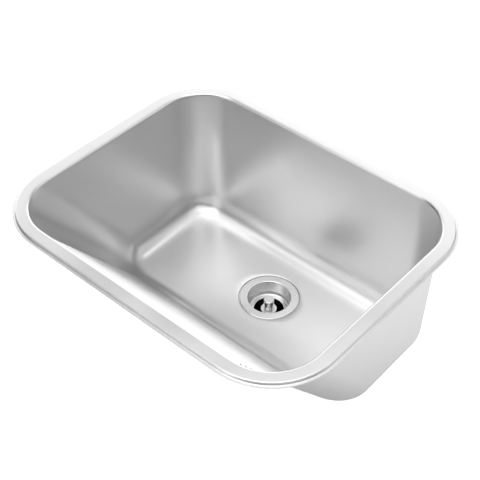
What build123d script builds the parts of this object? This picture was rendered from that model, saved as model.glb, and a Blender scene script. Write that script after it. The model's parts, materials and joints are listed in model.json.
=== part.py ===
"""Built-in stainless steel utility sink with a washboard front and a lift-up stopper.

Millimetres, +Z up. The origin is the middle of the rim, on the rim's flat top. The washboard is at
the front, -Y, and the drain is near the back, +Y. Each sub-part is one solid in its own STEP file.
"""
from build123d import *
from math import atan2, cos, hypot, pi, sin, tan
import os

# How near two heights or radii are to count as equal, and how far a cutter runs past a face
TOUCH = 0.01
CUT = 10.0

# Sheet and rim
SHEET = 1.0
RIM_LENGTH = 560.0
RIM_DEPTH = 461.0
RIM_CORNER = 107.5
LIP_WIDTH = 4.4
LIP_DROP = 5.0
SHOULDER_RADIUS = 1.5
LIP_ROOT_RADIUS = 0.8
MOUTH_RADIUS = 4.0

# Bowl, inside faces
MOUTH_HALF_LENGTH = 254.0
MOUTH_HALF_DEPTH = 204.0
BOWL_DEPTH = 243.5
LENGTH_TAPER = 10.8
BACK_TAPER = 11.3
LEAD_IN = 9.0
FOOT_Y = -20.2
MOUTH_CORNER = 76.5
FLOOR_CORNER_BACK = 52.5
FLOOR_CORNER_FRONT = 66.0
FLOOR_FILLET = 36.0

# Washboard ribs
RIB_COUNT = 14
RIB_PITCH = 17.0
FIRST_RIB = 22.5
RIB_HALF_LENGTH = 173.0
RIB_WIDTH = 7.2
RIB_HEIGHT = 2.1

# Drain, seen from above
DRAIN_Y = 86.6
RECESS_DROP = 2.2
RECESS_RADIUS = 49.8
HOLE_RADIUS = 37.5
FLANGE_RADIUS = 48.0
FLANGE_ROLL = 1.3
FLANGE_EDGE_RADIUS = 0.8
THROAT_RADIUS = 35.0
THROAT_LIP_RADIUS = 1.4
CUP_DEPTH = 27.6
CUP_WALL_TAPER = 0.5
CUP_STRAIGHT = 22.6
CUP_FLOOR_RADIUS = 32.4
CUP_FLOOR_FILLET = 3.0
KIDNEY_OUTER = 24.8
KIDNEY_INNER = 12.9
SPOKE_WIDTH = 16.4
SPOKE_TURN = -51.0

# Drain, clamped under the floor
GASKET_THICKNESS = 1.5
GASKET_OUTER = 46.5
UNDER_GASKET_THICKNESS = 3.0
FRICTION_WASHER_THICKNESS = 1.0
WASHER_OUTER = 45.5
THREAD_RADIUS = 36.7
THREAD_START = 0.3
HOLE_PLAY = 0.3
LOCKNUT_HEIGHT = 9.0
LOCKNUT_RADIUS = 43.5
LOCKNUT_LUGS = 8
LUG_REACH = 5.0
LUG_WIDTH = 9.0
LUG_ROOT = 1.0

# Outlet under the cup
CHAMBER_RADIUS = 27.0
CHAMBER_WALL = 1.6
CHAMBER_DEPTH = 27.0
SEAT_DROP = 6.0
OUTLET_BORE = 19.0
OUTLET_RADIUS = 23.9
OUTLET_LENGTH = 22.0
OUTLET_SHOULDER = 25.6
BRAZE_RADIUS = 32.0
BRAZE_HEIGHT = 2.0

# Stopper
STEM_RADIUS = 7.2
STEM_CLEARANCE = 0.06
BUSH_COLLAR_RADIUS = 13.1
BUSH_COLLAR_HEIGHT = 0.6
BUSH_BARREL_RADIUS = 10.4
BUSH_BELOW = 14.8
BUSH_MOUTH_RADIUS = 8.3
BUSH_MOUTH_DEPTH = 1.4
BUSH_EDGE_RADIUS = 0.3
BUSH_MOUTH_EDGE = 0.2
RING_HEIGHT = 2.4
RING_SECTION = 1.6
RING_PLAY = 0.05
RING_PROUD = 0.02
RING_ABOVE_END = 1.4
KNOB_RADIUS = 8.7
KNOB_HEIGHT = 2.8
KNOB_ABOVE_CUP_FLOOR = 18.9
KNOB_EDGE = 1.2
KNOB_UNDER_EDGE = 0.7
KNOB_SOCKET_RADIUS = 4.0
KNOB_SOCKET_DEPTH = 1.6
DISC_RADIUS = 22.5
DISC_THICKNESS = 4.0
DISC_CHAMFER = 1.0
SEAT_GAP = 0.34
BACKING_RADIUS = 18.0
BACKING_THICKNESS = 1.0
NECK_RADIUS = 4.0
KEEPER_RADIUS = 12.0
KEEPER_THICKNESS = 1.0
NUT_SIDES = 6
NUT_FLATS = 13.0
NUT_HEIGHT = 5.0
NECK_PROUD = 1.0

# Sound pad under the floor
PAD_THICKNESS = 2.0
PAD_HALF_LENGTH = 190.0
PAD_FRONT_Y = 6.0
PAD_BACK_Y = 150.0
PAD_CORNER = 25.0
PAD_HOLE_RADIUS = 60.0

# Heights and radii that follow from the sizes above
FLOOR_Z = -BOWL_DEPTH
LEDGE_Z = FLOOR_Z - RECESS_DROP
FLANGE_TOP = LEDGE_Z + GASKET_THICKNESS + SHEET
CUP_FLOOR_Z = FLANGE_TOP - CUP_DEPTH
CUP_UNDER_Z = CUP_FLOOR_Z - SHEET
LEDGE_UNDER_Z = LEDGE_Z - SHEET
SEAT_TOP_Z = CUP_UNDER_Z - CHAMBER_DEPTH
SEAT_BOTTOM_Z = SEAT_TOP_Z - SEAT_DROP
OUTLET_END_Z = SEAT_BOTTOM_Z - OUTLET_LENGTH
SLOPE_ANGLE = atan2(BOWL_DEPTH - LEAD_IN, FOOT_Y + MOUTH_HALF_DEPTH)

UNDER_GASKET_BOTTOM = LEDGE_UNDER_Z - UNDER_GASKET_THICKNESS
LOCKNUT_TOP = UNDER_GASKET_BOTTOM - FRICTION_WASHER_THICKNESS
BUSH_END_Z = CUP_UNDER_Z - BUSH_BELOW
KNOB_BOTTOM = CUP_FLOOR_Z + KNOB_ABOVE_CUP_FLOOR
RING_TOP = BUSH_END_Z + RING_ABOVE_END + RING_HEIGHT
SEAT_RUN = CHAMBER_RADIUS - OUTLET_BORE
SEAT_LENGTH = hypot(SEAT_RUN, SEAT_DROP)
DISC_EDGE = DISC_RADIUS - DISC_CHAMFER - OUTLET_BORE
DISC_BOTTOM = SEAT_BOTTOM_Z + (SEAT_GAP * SEAT_LENGTH + SEAT_DROP * DISC_EDGE) / SEAT_RUN
BACKING_TOP = DISC_BOTTOM + DISC_THICKNESS + BACKING_THICKNESS
NUT_TOP = DISC_BOTTOM - KEEPER_THICKNESS
WASHER_INNER = THREAD_RADIUS + HOLE_PLAY
RING_INNER = STEM_RADIUS - RING_SECTION + RING_PLAY
RING_OUTER = STEM_RADIUS + RING_PROUD

os.makedirs("parts", exist_ok=True)


def rounded_plate(length, depth, corner, low, high):
    """A flat plate with round corners, centred on the origin, between two heights."""
    outline = Plane.XY.offset(low) * RectangleRounded(length, depth, corner)
    return extrude(outline, high - low)


def turned(points):
    """A solid turned about the drain's axis from (radius, height) points."""
    profile = Plane.XZ * make_face(Polyline(*points, close=True))
    return Pos(0, DRAIN_Y, 0) * revolve(profile, Axis.Z)


def ring(inner, outer, low, high):
    """A flat ring about the drain's axis."""
    return turned([(inner, low), (outer, low), (outer, high), (inner, high)])


def bowl_section(height, grow, front_y, front_corner, back_corner):
    """One level of the bowl: a rectangle with two corner sizes, grown outwards by a sheet."""
    share = -height / BOWL_DEPTH
    half = MOUTH_HALF_LENGTH - share * LENGTH_TAPER + grow
    back_y = MOUTH_HALF_DEPTH - share * BACK_TAPER + grow
    front_r = front_corner + grow
    back_r = back_corner + grow
    arcs = [
        CenterArc((half - front_r, front_y + front_r), front_r, -90, 90),
        CenterArc((half - back_r, back_y - back_r), back_r, 0, 90),
        CenterArc((back_r - half, back_y - back_r), back_r, 90, 90),
        CenterArc((front_r - half, front_y + front_r), front_r, 180, 90),
    ]
    edges = []
    for arc, following in zip(arcs, arcs[1:] + arcs[:1]):
        edges.append(arc)
        edges.append(Line(arc @ 1, following @ 0))
    return Plane.XY.offset(height) * make_face(edges)


def bowl_plug(grow):
    """The bowl as a solid: its inside at grow 0, its outside at grow SHEET."""
    turn = pi / 2 - SLOPE_ANGLE
    crease_z = -LEAD_IN - grow * tan(turn / 2)
    bottom_z = FLOOR_Z - grow
    front_y = -MOUTH_HALF_DEPTH - grow
    foot_y = front_y + (crease_z - bottom_z) / tan(SLOPE_ANGLE)
    mouth = bowl_section(0, grow, front_y, MOUTH_CORNER, MOUTH_CORNER)
    crease = bowl_section(crease_z, grow, front_y, MOUTH_CORNER, MOUTH_CORNER)
    floor = bowl_section(bottom_z, grow, foot_y, FLOOR_CORNER_FRONT, FLOOR_CORNER_BACK)
    upper = loft([mouth, crease], ruled=True)
    lower = loft([crease, floor], ruled=True)
    floor_edges = lower.faces().sort_by(Axis.Z)[0].edges()
    lower = fillet(floor_edges, FLOOR_FILLET + grow)
    return upper + lower


def rib_bar(radius, half):
    """A bar along the long side with a ball at each end."""
    bar = Rot(0, 90, 0) * Cylinder(radius, 2 * half)
    for side in (-1, 1):
        bar += Pos(side * half, 0, 0) * Sphere(radius)
    return bar


def add_ribs(shell):
    """Presses round-ended ribs of the sheet's own thickness up from the slope."""
    bar = (RIB_WIDTH ** 2 / 4 + RIB_HEIGHT ** 2) / (2 * RIB_HEIGHT)
    sunk = bar - RIB_HEIGHT
    half = RIB_HALF_LENGTH - RIB_WIDTH / 2
    slab = Pos(0, 0, sunk + bar / 2 - SHEET) * Box(2 * RIB_HALF_LENGTH + CUT, RIB_PITCH, bar)
    hollow = rib_bar(bar - SHEET, half)
    crest = (rib_bar(bar, half) & slab) - hollow
    for index in range(RIB_COUNT):
        along = FIRST_RIB + index * RIB_PITCH
        y = -MOUTH_HALF_DEPTH + along * cos(SLOPE_ANGLE) - sunk * sin(SLOPE_ANGLE)
        z = -LEAD_IN - along * sin(SLOPE_ANGLE) - sunk * cos(SLOPE_ANGLE)
        place = Pos(0, y, z) * Rot(-SLOPE_ANGLE * 180 / pi, 0, 0)
        shell = shell + place * crest - place * hollow
    return shell


def edges_within(part, height, half_length, half_depth):
    """The edges at one height that stay within a half length and a half depth of the middle."""
    found = []
    for edge in part.edges():
        box = edge.bounding_box()
        inside_x = max(box.max.X, -box.min.X) < half_length
        inside_y = max(box.max.Y, -box.min.Y) < half_depth
        if inside_x and inside_y and abs(edge.center().Z - height) < TOUCH:
            found.append(edge)
    return found


def rim():
    """The lip, the step up to the shoulder and the flat top, as a shell with no bowl in it yet."""
    length = RIM_LENGTH - 2 * LIP_WIDTH
    depth = RIM_DEPTH - 2 * LIP_WIDTH
    corner = RIM_CORNER - LIP_WIDTH
    lip_top = SHEET - LIP_DROP
    lip = rounded_plate(RIM_LENGTH, RIM_DEPTH, RIM_CORNER, -LIP_DROP, lip_top)
    deck = rounded_plate(length, depth, corner, -LIP_DROP, 0)
    deck = fillet(deck.faces().sort_by(Axis.Z)[-1].edges(), SHOULDER_RADIUS)
    hollow = rounded_plate(length - 2 * SHEET, depth - 2 * SHEET, corner - SHEET, -LIP_DROP, -SHEET)
    hollow = fillet(hollow.faces().sort_by(Axis.Z)[-1].edges(), SHOULDER_RADIUS - SHEET)
    solid = lip + deck
    root = edges_within(solid, lip_top, length / 2 + TOUCH, depth / 2 + TOUCH)
    return fillet(root, LIP_ROOT_RADIUS) - hollow


def drain_cutter(radius, low, high):
    """An upright cylinder on the drain's axis between two heights."""
    return Pos(0, DRAIN_Y, (low + high) / 2) * Cylinder(radius, high - low)


def basin():
    """The pressed sheet: lip, shoulder, flat rim, bowl, drain recess and washboard ribs."""
    half_length = MOUTH_HALF_LENGTH + 2 * SHEET
    half_depth = MOUTH_HALF_DEPTH + 2 * SHEET
    shell = rim() + bowl_plug(SHEET)
    shell = fillet(edges_within(shell, -SHEET, half_length, half_depth), MOUTH_RADIUS - SHEET)
    shell += drain_cutter(RECESS_RADIUS + SHEET, LEDGE_UNDER_Z, FLOOR_Z)
    shell -= bowl_plug(0)
    shell -= drain_cutter(RECESS_RADIUS, LEDGE_Z, FLOOR_Z + SHEET)
    shell -= drain_cutter(HOLE_RADIUS, LEDGE_Z - CUT, LEDGE_Z + CUT)
    shell = fillet(edges_within(shell, 0, half_length, half_depth), MOUTH_RADIUS)
    return add_ribs(shell)


def round_edge(part, radius, height, size):
    """Rounds the circular edge of a turned part at one radius and height."""
    found = []
    for edge in part.edges().filter_by(GeomType.CIRCLE):
        if abs(edge.radius - radius) < TOUCH and abs(edge.center().Z - height) < TOUCH:
            found.append(edge)
    return fillet(found, size)


def strainer_cup():
    """Flange with a rolled-down edge, straight throat, threaded outside and a floor with two openings."""
    flange_under = FLANGE_TOP - SHEET
    roll_z = flange_under - FLANGE_ROLL
    straight_z = FLANGE_TOP - CUP_STRAIGHT
    neck_inner = THROAT_RADIUS - CUP_WALL_TAPER
    outside = THROAT_RADIUS + SHEET
    thread_top = LEDGE_UNDER_Z - THREAD_START
    thread_end = straight_z - SHEET / 2
    cup = turned([
        (THROAT_RADIUS, FLANGE_TOP), (FLANGE_RADIUS, FLANGE_TOP), (FLANGE_RADIUS, roll_z),
        (FLANGE_RADIUS - SHEET, roll_z), (FLANGE_RADIUS - SHEET, flange_under), (outside, flange_under),
        (outside, thread_top), (THREAD_RADIUS, thread_top), (THREAD_RADIUS, thread_end),
        (outside - CUP_WALL_TAPER, thread_end), (CUP_FLOOR_RADIUS + SHEET, CUP_UNDER_Z),
        (BUSH_BARREL_RADIUS, CUP_UNDER_Z), (BUSH_BARREL_RADIUS, CUP_FLOOR_Z),
        (CUP_FLOOR_RADIUS, CUP_FLOOR_Z), (neck_inner, straight_z),
    ])
    cup = round_edge(cup, THROAT_RADIUS, FLANGE_TOP, THROAT_LIP_RADIUS)
    cup = round_edge(cup, FLANGE_RADIUS, FLANGE_TOP, FLANGE_EDGE_RADIUS)
    cup = round_edge(cup, CUP_FLOOR_RADIUS, CUP_FLOOR_Z, CUP_FLOOR_FILLET)
    cup = round_edge(cup, neck_inner, straight_z, CUP_FLOOR_FILLET)
    openings = ring(KIDNEY_INNER, KIDNEY_OUTER, CUP_UNDER_Z - SHEET, CUP_FLOOR_Z + SHEET)
    spokes = Box(2 * CUP_FLOOR_RADIUS, SPOKE_WIDTH, 2 * CUT)
    spokes = Pos(0, DRAIN_Y, CUP_FLOOR_Z) * Rot(0, 0, SPOKE_TURN) * spokes
    return cup - (openings - spokes)


def guide_bush():
    """Collar and barrel fixed in the middle of the cup's floor; the stopper's stem slides in it."""
    top = CUP_FLOOR_Z + BUSH_COLLAR_HEIGHT
    bore = STEM_RADIUS + STEM_CLEARANCE
    bush = turned([
        (bore, BUSH_END_Z), (BUSH_BARREL_RADIUS, BUSH_END_Z), (BUSH_BARREL_RADIUS, CUP_FLOOR_Z),
        (BUSH_COLLAR_RADIUS, CUP_FLOOR_Z), (BUSH_COLLAR_RADIUS, top), (BUSH_MOUTH_RADIUS, top),
        (BUSH_MOUTH_RADIUS, top - BUSH_MOUTH_DEPTH), (bore, top - BUSH_MOUTH_DEPTH),
    ])
    bush = round_edge(bush, BUSH_COLLAR_RADIUS, top, BUSH_EDGE_RADIUS)
    return round_edge(bush, BUSH_MOUTH_RADIUS, top, BUSH_MOUTH_EDGE)


def outlet_body():
    """Chamber brazed under the cup, a conical seat for the stopper and the outlet's threaded nose."""
    wall = CHAMBER_RADIUS + CHAMBER_WALL
    braze_bottom = CUP_UNDER_Z - BRAZE_HEIGHT
    return turned([
        (CHAMBER_RADIUS, CUP_UNDER_Z), (BRAZE_RADIUS, CUP_UNDER_Z), (BRAZE_RADIUS, braze_bottom),
        (wall, braze_bottom), (wall, SEAT_TOP_Z), (OUTLET_SHOULDER, SEAT_BOTTOM_Z),
        (OUTLET_RADIUS, SEAT_BOTTOM_Z), (OUTLET_RADIUS, OUTLET_END_Z), (OUTLET_BORE, OUTLET_END_Z),
        (OUTLET_BORE, SEAT_BOTTOM_Z), (CHAMBER_RADIUS, SEAT_TOP_Z),
    ])


def locknut():
    """Ring nut with lugs that clamps the cup to the sink's floor."""
    nut = ring(THREAD_RADIUS, LOCKNUT_RADIUS, LOCKNUT_TOP - LOCKNUT_HEIGHT, LOCKNUT_TOP)
    middle = LOCKNUT_TOP - LOCKNUT_HEIGHT / 2
    lug = Box(LUG_ROOT + LUG_REACH, LUG_WIDTH, LOCKNUT_HEIGHT)
    lug = Pos(LOCKNUT_RADIUS + (LUG_REACH - LUG_ROOT) / 2, 0, 0) * lug
    for index in range(LOCKNUT_LUGS):
        nut += Pos(0, DRAIN_Y, middle) * Rot(0, 0, index * 360 / LOCKNUT_LUGS) * lug
    return nut


def stopper_stem():
    """Post with a spigot for the knob, a groove for the ring and a thin neck for the seal."""
    neck_end = NUT_TOP - NUT_HEIGHT - NECK_PROUD
    spigot_top = KNOB_BOTTOM + KNOB_SOCKET_DEPTH
    groove = STEM_RADIUS - RING_SECTION
    groove_top = RING_TOP + RING_PLAY
    groove_bottom = RING_TOP - RING_HEIGHT - RING_PLAY
    return turned([
        (0, spigot_top), (KNOB_SOCKET_RADIUS, spigot_top), (KNOB_SOCKET_RADIUS, KNOB_BOTTOM),
        (STEM_RADIUS, KNOB_BOTTOM), (STEM_RADIUS, groove_top), (groove, groove_top),
        (groove, groove_bottom), (STEM_RADIUS, groove_bottom), (STEM_RADIUS, BACKING_TOP),
        (NECK_RADIUS, BACKING_TOP), (NECK_RADIUS, neck_end), (0, neck_end),
    ])


def stopper_knob():
    """Low round head with soft edges, pressed on the stem's spigot."""
    top = KNOB_BOTTOM + KNOB_HEIGHT
    socket_top = KNOB_BOTTOM + KNOB_SOCKET_DEPTH
    knob = turned([
        (0, top), (KNOB_RADIUS, top), (KNOB_RADIUS, KNOB_BOTTOM), (KNOB_SOCKET_RADIUS, KNOB_BOTTOM),
        (KNOB_SOCKET_RADIUS, socket_top), (0, socket_top),
    ])
    knob = round_edge(knob, KNOB_RADIUS, top, KNOB_EDGE)
    return round_edge(knob, KNOB_RADIUS, KNOB_BOTTOM, KNOB_UNDER_EDGE)


def stopper_seal():
    """Rubber disc whose lower edge meets the conical seat."""
    return turned([
        (NECK_RADIUS, DISC_BOTTOM), (DISC_RADIUS - DISC_CHAMFER, DISC_BOTTOM),
        (DISC_RADIUS, DISC_BOTTOM + DISC_CHAMFER), (DISC_RADIUS, DISC_BOTTOM + DISC_THICKNESS),
        (NECK_RADIUS, DISC_BOTTOM + DISC_THICKNESS),
    ])


def keeper_nut():
    """Hexagon nut that holds the seal and its washers on the stem."""
    outline = RegularPolygon(NUT_FLATS / 2, NUT_SIDES, major_radius=False) - Circle(NECK_RADIUS)
    return Pos(0, DRAIN_Y, NUT_TOP - NUT_HEIGHT) * extrude(outline, NUT_HEIGHT)


def sound_pad():
    """Damping sheet glued under the flat of the floor, cut out round the drain."""
    depth = PAD_BACK_Y - PAD_FRONT_Y
    top = FLOOR_Z - SHEET
    sheet = rounded_plate(2 * PAD_HALF_LENGTH, depth, PAD_CORNER, top - PAD_THICKNESS, top)
    sheet = Pos(0, (PAD_FRONT_Y + PAD_BACK_Y) / 2, 0) * sheet
    return sheet - drain_cutter(PAD_HOLE_RADIUS, top - CUT, top + CUT)


SUB_PARTS = {
    "basin": basin(),
    "sound_pad": sound_pad(),
    "strainer_cup": strainer_cup(),
    "guide_bush": guide_bush(),
    "flange_gasket": ring(HOLE_RADIUS, GASKET_OUTER, LEDGE_Z, LEDGE_Z + GASKET_THICKNESS),
    "under_gasket": ring(WASHER_INNER, WASHER_OUTER, UNDER_GASKET_BOTTOM, LEDGE_UNDER_Z),
    "friction_washer": ring(WASHER_INNER, WASHER_OUTER, LOCKNUT_TOP, UNDER_GASKET_BOTTOM),
    "locknut": locknut(),
    "outlet_body": outlet_body(),
    "stem_ring": ring(RING_INNER, RING_OUTER, RING_TOP - RING_HEIGHT, RING_TOP),
    "stopper_stem": stopper_stem(),
    "stopper_knob": stopper_knob(),
    "backing_washer": ring(NECK_RADIUS, BACKING_RADIUS, BACKING_TOP - BACKING_THICKNESS, BACKING_TOP),
    "stopper_seal": stopper_seal(),
    "keeper_washer": ring(NECK_RADIUS, KEEPER_RADIUS, NUT_TOP, DISC_BOTTOM),
    "keeper_nut": keeper_nut(),
}
for name, solid in SUB_PARTS.items():
    export_step(solid, f"parts/{name}.step")
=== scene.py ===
"""Dressed scene of a built-in stainless steel sink: washboard front, strainer drain, lift-up stopper.

Sizes are in millimetres and become metres where a mesh is made. +Z is up and the rim's top is at 0.
"""
import json
from math import asin, atan2, cos, pi, radians, sin, tan
import bmesh
import bpy
import numpy as np
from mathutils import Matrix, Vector


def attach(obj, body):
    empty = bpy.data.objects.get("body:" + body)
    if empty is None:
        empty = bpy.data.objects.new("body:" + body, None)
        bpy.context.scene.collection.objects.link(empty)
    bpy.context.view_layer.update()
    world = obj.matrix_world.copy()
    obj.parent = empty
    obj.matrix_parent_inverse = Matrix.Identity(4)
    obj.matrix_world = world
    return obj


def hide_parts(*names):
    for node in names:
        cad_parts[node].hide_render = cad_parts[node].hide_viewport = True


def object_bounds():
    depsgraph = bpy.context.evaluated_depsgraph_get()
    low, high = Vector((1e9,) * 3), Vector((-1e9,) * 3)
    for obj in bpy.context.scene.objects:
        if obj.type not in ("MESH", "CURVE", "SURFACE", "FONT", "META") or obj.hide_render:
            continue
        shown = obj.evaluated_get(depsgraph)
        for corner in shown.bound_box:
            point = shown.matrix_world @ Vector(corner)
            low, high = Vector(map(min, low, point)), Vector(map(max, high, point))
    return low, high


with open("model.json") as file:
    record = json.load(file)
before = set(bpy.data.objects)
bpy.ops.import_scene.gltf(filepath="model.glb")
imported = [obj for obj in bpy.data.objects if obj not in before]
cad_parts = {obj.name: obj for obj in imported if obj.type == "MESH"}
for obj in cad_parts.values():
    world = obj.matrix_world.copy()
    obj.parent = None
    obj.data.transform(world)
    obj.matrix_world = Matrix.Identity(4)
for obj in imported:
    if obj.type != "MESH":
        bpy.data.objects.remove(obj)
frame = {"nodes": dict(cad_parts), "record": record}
cad_low, cad_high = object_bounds()
MM = 0.001

# Pressed sheet; RIM and MOUTH hold half a length, half a depth and a corner's radius
SHEET = 1.0
RIM = (280.0, 230.5, 107.5)
LIP_WIDTH = 4.4
LIP_TOP = -4.0
LIP_ROOT = 0.8
SHOULDER = 1.5
MOUTH_ROUND = 4.0
MOUTH = (254.0, 204.0, 76.5)
CREASE_Z = -9.0
CREASE_LEG = 4.5
FLOOR_Z = -243.5
FLOOR_HALF_LENGTH = 243.2
FLOOR_BACK = 192.7
FLOOR_FRONT = -20.2
FLOOR_CORNER_FRONT = 66.0
FLOOR_CORNER_BACK = 52.5
FLOOR_ROUND = 36.0
SLOPE = atan2(CREASE_Z - FLOOR_Z, FLOOR_FRONT + MOUTH[1])

# Washboard ribs; the blend softens a rib's foot, and ON_SLOPE is how near the slope a point has to be to rise
RIB_COUNT = 14
RIB_PITCH = 17.0
FIRST_RIB = 22.5
RIB_HALF_LENGTH = 173.0
RIB_WIDTH = 7.2
RIB_HEIGHT = 2.1
RIB_FOOT_BLEND = 0.3
ON_SLOPE = 0.05

# Drain recess in the sheet
DRAIN_Y = 86.6
RECESS_RADIUS = 49.8
RECESS_EDGE = 1.2
RECESS_FOOT = 0.8
LEDGE_Z = -245.7
HOLE_RADIUS = 37.5

# Strainer cup
FLANGE_RADIUS = 48.0
FLANGE_TOP = LEDGE_Z + 2.5
FLANGE_ROLL = 1.3
FLANGE_EDGE = 0.8
FLANGE_INNER_EDGE = 0.3
THROAT_RADIUS = 35.0
THROAT_LIP = 1.4
THROAT_TAPER = 0.5
CUP_THREAD_RADIUS = 36.7
CUP_THREAD_TOP = LEDGE_Z - SHEET - 0.3
CUP_THREAD_PITCH = 2.0
CUP_THREAD_DEPTH = 0.7
CUP_STRAIGHT_Z = FLANGE_TOP - 22.6
CUP_FLOOR_Z = FLANGE_TOP - 27.6
CUP_UNDER_Z = CUP_FLOOR_Z - SHEET
CUP_FLOOR_RADIUS = 32.4
CUP_FLOOR_ROUND = 3.0
KIDNEY_OUTER = 24.8
KIDNEY_INNER = 12.9
KIDNEY_RADII = (KIDNEY_OUTER, 20.8, 16.8, KIDNEY_INNER)
SPOKE_WIDTH = 16.4
SPOKE_TURN = radians(-51.0)
BUSH_BARREL_RADIUS = 10.4

# Locknut
NUT_RING_TOP = LEDGE_Z - SHEET - 4.0
NUT_RING_HEIGHT = 9.0
NUT_RING_RADIUS = 43.5
NUT_GROOVE_OUTER = 41.5
NUT_GROOVE_INNER = 39.0
NUT_GROOVE_DEPTH = 0.8
NUT_GROOVE_SIDE = 0.5
LUG_COUNT = 8
LUG_ROOT = 1.0
LUG_REACH = 5.0
LUG_HALF_WIDTH = 4.5
LUG_TAPER = 0.4
LUG_CORNER = 0.6
LUG_GROOVE_HALF_WIDTH = 1.2
LUG_GROOVE_DEPTH = 0.7

# Outlet body
CHAMBER_RADIUS = 27.0
CHAMBER_OUTSIDE = 28.6
COLLAR_RADIUS = 32.0
COLLAR_HEIGHT = 2.0
SEAT_TOP = CUP_UNDER_Z - 27.0
SEAT_BOTTOM = SEAT_TOP - 6.0
OUTLET_SHOULDER = 25.6
RELIEF_RADIUS = 22.8
RELIEF_HEIGHT = 2.2
RELIEF_SLOPE = 0.6
OUTLET_END = SEAT_BOTTOM - 22.0
OUTLET_RADIUS = 23.9
OUTLET_BORE = 19.0
OUTLET_CHAMFER = 0.9
OUTLET_THREAD_PITCH = 2.3
OUTLET_THREAD_DEPTH = 0.9

# Stopper
KNOB_BOTTOM = CUP_FLOOR_Z + 18.9
KNOB_TOP = KNOB_BOTTOM + 2.8
KNOB_RADIUS = 8.7
KNOB_TOP_EDGE = 1.2
KNOB_BOTTOM_EDGE = 0.7
SOCKET_TOP = KNOB_BOTTOM + 1.6
STEM_RADIUS = 7.2
NECK_RADIUS = 4.0
GROOVE_RADIUS = 5.6
GROOVE_TOP = CUP_UNDER_Z - 10.95
GROOVE_BOTTOM = GROOVE_TOP - 2.5
NECK_TOP = SEAT_BOTTOM + 7.3
HEX_NUT_TOP = SEAT_BOTTOM + 1.3
HEX_NUT_HEIGHT = 5.0
HEX_NUT_FLATS = 13.0
HEX_NUT_CHAMFER = 0.15
HEX_NUT_INSET = 0.26
NECK_END = HEX_NUT_TOP - HEX_NUT_HEIGHT - 1.0
NECK_CHAMFER = 0.5
NECK_THREAD_TOP = NECK_TOP - 4.0
NECK_THREAD_PITCH = 1.25
NECK_THREAD_DEPTH = 0.5

# Columns of points round the bowl: even in the corners, close at the ribs' ends and fanned out from the drain
# elsewhere, given by how far the side is from the drain, its half length and the number of columns
CORNER_ANGLES = np.linspace(0, pi / 2, 17)[1:-1]
RIB_END_X = np.array([150.0, 161.0, 165.5, 168.0, 169.6, 171.0, 172.2, 173.2, 174.6, 177.35])
FRONT_FAN = (91.0, 135.0, 25)
BACK_FAN = (70.0, 190.0, 29)
SIDE_SHARES = np.linspace(0, 1, 11)

# Rings of points: how far along the band, the slope's foot and the floor they lie, at what radius in the
# recess, and how far to either side of a rib's middle
QUARTER = np.linspace(0, pi / 2, 5)
LIP_SAMPLE = 0.3
BAND_SHARES = (0.08, 0.36, 0.64, 0.92, 1.0)
FOOT_SHARES = (0.0, 0.35, 0.7, 1.0)
FLOOR_SHARES = (0.06, 0.2, 0.4, 0.6, 0.8, 0.93, 1.0)
LEDGE_RADII = (RECESS_RADIUS - 1.5, 44.0, HOLE_RADIUS)
RIB_STEPS = np.array([1.0, 2.0, 2.8, 3.4, 3.8, 4.3, 5.6])

# Turned outlines: how far from a round the next point lies, how deep a thread looks for its face, and the
# spacing of the points there
FLAT_SAMPLE = 0.4
THREAD_SKIN = 0.1
THREAD_SAMPLE = 0.25
NECK_THREAD_SAMPLE = 0.16

# Columns of points round the drain
TURNED_COLUMNS = 128
STEM_COLUMNS = 72
KNOB_COLUMNS = 96
HEX_NUT_COLUMNS = 96
SPOKE_COLUMNS = 10
OPENING_COLUMNS = 62

# Which edges get a small round, the steel's colour and how far apart the damping sheet's ridges are
SQUARE_EDGE = radians(50)
STEEL_COLOUR = (0.8, 0.8, 0.8)
DIAMOND = 9.0

# Camera
AZIMUTH = radians(41.28)
ELEVATION = radians(43.33)
AIM = Vector((45.0, -36.7, 0.0)) * MM
DISTANCE = 1422.4 * MM
LENS = 77.0

# Soft lights of the room: compass angle from +X, height and half width in degrees, strength
ROOM_LEVEL = 0.05
ROOM_LIGHTS = [
    (259.0, 62.0, 31.0, 2.20),
    (115.0, 19.0, 29.0, 2.50),
    (124.0, 75.0, 27.0, 2.60),
    (158.0, 22.0, 28.0, 2.00),
    (254.0, 14.0, 28.0, 1.40),
    (338.0, 56.0, 31.0, 1.40),
    (46.0, 27.0, 39.0, 1.00),
]

# Floor: half its width in metres, its colour, and the white added for the camera and for mirror rays. The
# second fades in between two distances from the middle, in metres, which paints a shadow round the sink in
# what mirror rays see.
FLOOR_REACH = 6.0
FLOOR_COLOUR = 0.85
FLOOR_LIFT = 0.75
MIRRORED_LIFT = 0.15
PAINTED_SHADOW_INNER = 0.25
PAINTED_SHADOW_OUTER = 0.7
WHITE = (1, 1, 1, 1)


def place_camera():
    """Puts the camera at the photograph's viewing angle."""
    back = Vector((sin(AZIMUTH) * cos(ELEVATION), -cos(AZIMUTH) * cos(ELEVATION), sin(ELEVATION)))
    data = bpy.data.cameras.new("camera")
    data.lens = LENS
    camera = bpy.data.objects.new("camera", data)
    camera.location = AIM + back * DISTANCE
    camera.rotation_mode = "QUATERNION"
    camera.rotation_quaternion = (-back).to_track_quat("-Z", "Y")
    bpy.context.scene.collection.objects.link(camera)
    bpy.context.scene.camera = camera


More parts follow.
